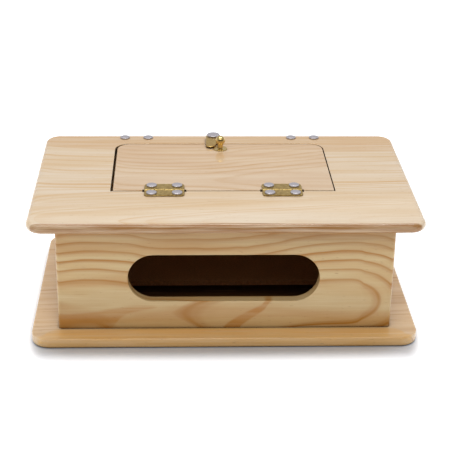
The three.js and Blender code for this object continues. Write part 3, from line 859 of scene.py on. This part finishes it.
def make_screws():
    for number in range(1, 5):
        pan_screw(f"lid_leaf_screw_{number}", "lid")
        pan_screw(f"flap_leaf_screw_{number}", "flap")
        pan_screw(f"lid_screw_{number}", "lid")
        x0, x1, y0, y1, z0, z1 = box_mm(f"wall_leaf_screw_{number}")
        head = Matrix.Translation(((x0 + x1) / 2, y1, (z0 + z1) / 2)) @ Matrix.Rotation(-QUARTER, 4, "X")
        sunk_screw(f"wall_leaf_screw_{number}", *WALL_SCREW_HEAD, y1 - y0, head)
    for number in range(1, 7):
        x0, x1, y0, y1, z0, z1 = box_mm(f"base_screw_{number}")
        head = Matrix.Translation(((x0 + x1) / 2, (y0 + y1) / 2, z0)) @ Matrix.Rotation(PI, 4, "X")
        sunk_screw(f"base_screw_{number}", *BASE_SCREW_HEAD, z1 - z0, head)


# ---------------------------------------------------------------- knob and turn button
def make_knob():
    """A ball on a waisted neck, over a thin round flange, with a hole for its screw from below."""
    x0, x1, y0, y1, z0, z1 = box_mm("flap_knob")
    flange, height = (x1 - x0) / 2, z1 - z0
    ball, waist, rim, disc = 3.2, 1.85, 0.2, 0.5
    hole, hole_top = 1.4, 3.9
    centre = height - ball
    waist_at_ball = waist * 1.12
    join = math.acos(waist_at_ball / ball)
    neck_top = centre - ball * math.sin(join)
    foot = [(hole, 0), (flange - 0.1, 0), *arc(flange - rim, disc - rim, rim, 0, QUARTER, 5)]
    collar = [(waist + 0.55, disc + 0.02), (waist + 0.2, disc + 0.14), (waist + 0.05, disc + 0.4)]
    neck_base = disc + 0.8
    neck = [(waist, neck_base), (waist, (neck_base + neck_top) / 2)]
    head = arc(0, centre, ball, -join, QUARTER, 30)[:-1]
    profile = [(0, hole_top), (hole, hole_top), *foot, *collar, *neck, *head, (0, height)]
    place = Matrix.Translation(((x0 + x1) / 2, (y0 + y1) / 2, z0))
    knob = turned("flap_knob_fine", profile, place, KNOB_STEPS)
    place_piece(knob, MATERIALS["brass"], "flap", "flap_knob")
    pan_screw("knob_screw", "flap", up=-1)


def between(start, end, steps=10):
    """The points inside a straight side, ends left out."""
    return [tuple(a + (b - a) * i / steps for a, b in zip(start, end)) for i in range(1, steps)]


def teardrop(boss, tip, reach):
    """The turn button's outline: a round boss that narrows to a smaller round tip towards -Y."""
    lean = math.asin((boss - tip) / reach)

    def outline(inset):
        top = arc(0, 0, boss - inset, -lean, PI + lean, 40)
        bottom = arc(0, -reach, tip - inset, PI + lean, 2 * PI - lean, 24)
        return top + between(top[-1], bottom[0]) + bottom + between(bottom[-1], top[0])

    return outline


def make_turn_button():
    """A bent brass teardrop that turns on its screw, over a washer."""
    boss, tip, reach, turn = 5.1, 3.0, 14.2, math.radians(-9.4)
    screw_bore, fall = 1.75, 1.35
    under_rim, upper_rim, washer_rim = 0.3, 0.55, 0.1
    x0, x1, y0, y1, _, _ = box_mm("turn_button_screw")
    centre = Matrix.Translation(((x0 + x1) / 2, (y0 + y1) / 2, 0))
    _, _, _, _, low, high = box_mm("turn_button")

    def bent_tongue(_, y, height):
        """From the front of the boss on, the upper side falls towards the tip."""
        along = (-boss - y) / (reach + tip - boss)
        return -fall * along if along > 0 and height > (low + high) / 2 else 0

    hole = (circle(0, 0, screw_bore), [(0, low), (0, high)])
    place = centre @ Matrix.Rotation(turn, 4, "Z")
    profile = rounded_edge(low, high, under_rim, upper_rim, 5)
    button = loft("turn_button_fine", teardrop(boss, tip, reach), profile, [hole], place, bent_tongue)
    place_piece(button, MATERIALS["button_brass"], "turn_button", "turn_button")
    pan_screw("turn_button_screw", "lid")

    x0, x1, _, _, low, high = box_mm("turn_button_washer")
    hole = (circle(0, 0, screw_bore), [(0, low), (0, high)])
    profile = rounded_edge(low, high, washer_rim, washer_rim, 2)
    washer = loft("turn_button_washer_fine", circle(0, 0, (x1 - x0) / 2), profile, [hole], centre)
    place_piece(washer, MATERIALS["button_brass"], "lid", "turn_button_washer")


# ---------------------------------------------------------------- inside
def finish_cad_node(node, material, edge):
    """A CAD node that stays: it keeps its shape, with its sharp edges eased by `edge` millimetres."""
    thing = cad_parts[node]
    thing.data.materials.clear()
    thing.data.materials.append(material)
    ease = thing.modifiers.new("eased edges", "BEVEL")
    ease.width = edge * MM
    ease.segments = 3
    ease.limit_method = "ANGLE"


def make_inside():
    finish_cad_node("shelf_board", MATERIALS["hardboard"], SHELF_EDGE)
    for side in ("left", "right"):
        finish_cad_node(f"{side}_shelf_cleat", MATERIALS["side"], CLEAT_EDGE)


# ---------------------------------------------------------------- stage, light and camera
# The floor glows, which is painted light. Its glow grows with the distance from a core under the box, where
# it is faint, so the shadow round the box is partly painted. Distances along X count more than those along Y,
# so that the shadow stays close to the box's sides.
FLOOR_HALF, FLOOR_DROP = 6000, 0.05
CORE_X, CORE_Y, SIDE_PULL = 110, 50, 3.2
GLOW_START, GLOW_END, GLOW_FAR = 29, 47, 420
GLOW_UNDER_BOX, GLOW_NEAR, GLOW_MORE = 0.03, 0.6, 0.3


def make_floor():
    """White paper that glows away from the box, a painted light, so that the shadow round the box is partly
    painted by the glow that fades towards it.
    """
    bm = bmesh.new()
    bmesh.ops.create_grid(bm, x_segments=1, y_segments=1, size=FLOOR_HALF)
    floor = new_piece("floor", bm)
    floor.location.z = -FLOOR_DROP * MM
    material, nodes = material_nodes("white_floor")
    paper = nodes.noise(place_in_mm(nodes), (0.02, 0.02, 0.02), detail=2)
    colour = nodes.mix(paper, srgb(236, 240, 247), srgb(242, 246, 252))
    parts = nodes.add("SeparateXYZ", {0: place_in_mm(nodes)}).outputs
    off_x = nodes.math("MULTIPLY_ADD", nodes.math("ABSOLUTE", parts["X"]), SIDE_PULL, -CORE_X * SIDE_PULL)
    off_y = nodes.math("SUBTRACT", nodes.math("ABSOLUTE", parts["Y"]), CORE_Y)
    corner = nodes.add("CombineXYZ", {0: nodes.math("MAXIMUM", off_x, 0), 1: nodes.math("MAXIMUM", off_y, 0)})
    away = nodes.add("VectorMath", {0: corner.outputs[0]}, operation="LENGTH").outputs["Value"]
    near = nodes.remap(away, GLOW_START, GLOW_END, GLOW_UNDER_BOX, GLOW_NEAR, smooth_ends=True)
    far = nodes.remap(away, GLOW_END, GLOW_FAR, 0, GLOW_MORE)
    glow = nodes.math("ADD", near, far)
    nodes.surface(Base_Color=colour, Roughness=0.7, Emission_Color=(1, 1, 1, 1), Emission_Strength=glow)
    floor.data.materials.append(material)


def make_light(name, place, target, size, power, colour=(1, 1, 1)):
    """A soft rectangular light. Places and sizes are in metres, and power is in watts."""
    data = bpy.data.lights.new(name, "AREA")
    data.shape = "RECTANGLE"
    data.size, data.size_y = size
    data.energy = power
    data.color = colour
    light = bpy.data.objects.new(name, data)
    light.location = place
    light.rotation_euler = (Vector(target) - Vector(place)).to_track_quat("-Z", "Y").to_euler()
    bpy.context.scene.collection.objects.link(light)
    return light


LIT_POINT = (0, 0, 0.05)
OVERHEAD = dict(place=(0.02, 0.15, 1.3), target=LIT_POINT, size=(1.0, 0.28), power=8.0)
FRONT_HIGH = dict(place=(-0.15, -0.72, 1.13), target=LIT_POINT, size=(1.3, 0.4), power=6.0,
                  colour=(1, 0.99, 0.97))


def make_lights():
    """One soft light above, and one high in front of the box that leaves the floor alone."""
    make_light("overhead", **OVERHEAD)
    front = make_light("front_high", **FRONT_HIGH)
    spared = bpy.data.collections.new("spared by the front light")
    spared.objects.link(bpy.data.objects["floor"])
    spared.collection_objects[0].light_linking.link_state = "EXCLUDE"
    front.light_linking.receiver_collection = spared


ROOM_DIM, ROOM_BRIGHT, ROOM_STRENGTH = (0.12, 0.11, 0.1, 1), (0.85, 0.85, 0.87, 1), 0.75


def make_world():
    """A pale room: bright above and behind the box, and dim low in front of it."""
    world = bpy.data.worlds.new("studio")
    bpy.context.scene.world = world
    world.use_nodes = True
    nodes = Nodes(world.node_tree)
    heading = nodes.add("SeparateXYZ", {0: nodes.add("TexCoord").outputs["Generated"]}).outputs
    rear = nodes.remap(heading["Y"], -0.9, 0.3, smooth_ends=True)
    high = nodes.remap(heading["Z"], 0.35, 0.8, 0, 0.6, smooth_ends=True)
    colour = nodes.mix(nodes.math("MAXIMUM", rear, high), ROOM_DIM, ROOM_BRIGHT)
    background = nodes.add("Background", {"Color": colour, "Strength": ROOM_STRENGTH})
    nodes.add("OutputWorld", {"Surface": background.outputs[0]})


CAMERA_PLACE = (-30.1, -756.4, 393.7)
CAMERA_YAW, CAMERA_PITCH, CAMERA_ROLL = 2.456, 24.567, 0.877
CAMERA_LENS, SENSOR_WIDTH = 100.94, 36
CLIP_NEAR, CLIP_FAR = 0.01, 30


def make_camera():
    """Above and in front, looking down at the box, a little from the left."""
    yaw, pitch, roll = (math.radians(a) for a in (CAMERA_YAW, CAMERA_PITCH, CAMERA_ROLL))
    forward = Vector((math.sin(yaw) * math.cos(pitch), math.cos(yaw) * math.cos(pitch), -math.sin(pitch)))
    level = Vector((math.cos(yaw), -math.sin(yaw), 0))
    upward = level.cross(forward)
    right = math.cos(roll) * level + math.sin(roll) * upward
    upward = -math.sin(roll) * level + math.cos(roll) * upward
    turn = Matrix((right, upward, -forward)).transposed()
    camera = bpy.data.objects.new("camera", bpy.data.cameras.new("camera"))
    camera.data.lens = CAMERA_LENS
    camera.data.sensor_width = SENSOR_WIDTH
    camera.data.clip_start, camera.data.clip_end = CLIP_NEAR, CLIP_FAR
    camera.matrix_world = Matrix.Translation(Vector(CAMERA_PLACE) * MM) @ turn.to_4x4()
    bpy.context.scene.collection.objects.link(camera)
    bpy.context.scene.camera = camera


def set_view():
    settings = bpy.context.scene.view_settings
    settings.view_transform = "Standard"
    settings.look = "None"


make_base()
upright("front_panel", -1, MATERIALS["front"], slot_hole=True)
upright("back_panel", 1, MATERIALS["back"])
make_side("left_side_panel")
make_side("right_side_panel")
make_lid()
make_flap()
make_hinges()
make_screws()
make_knob()
make_turn_button()
make_inside()
make_floor()
make_lights()
make_world()
make_camera()
set_view()
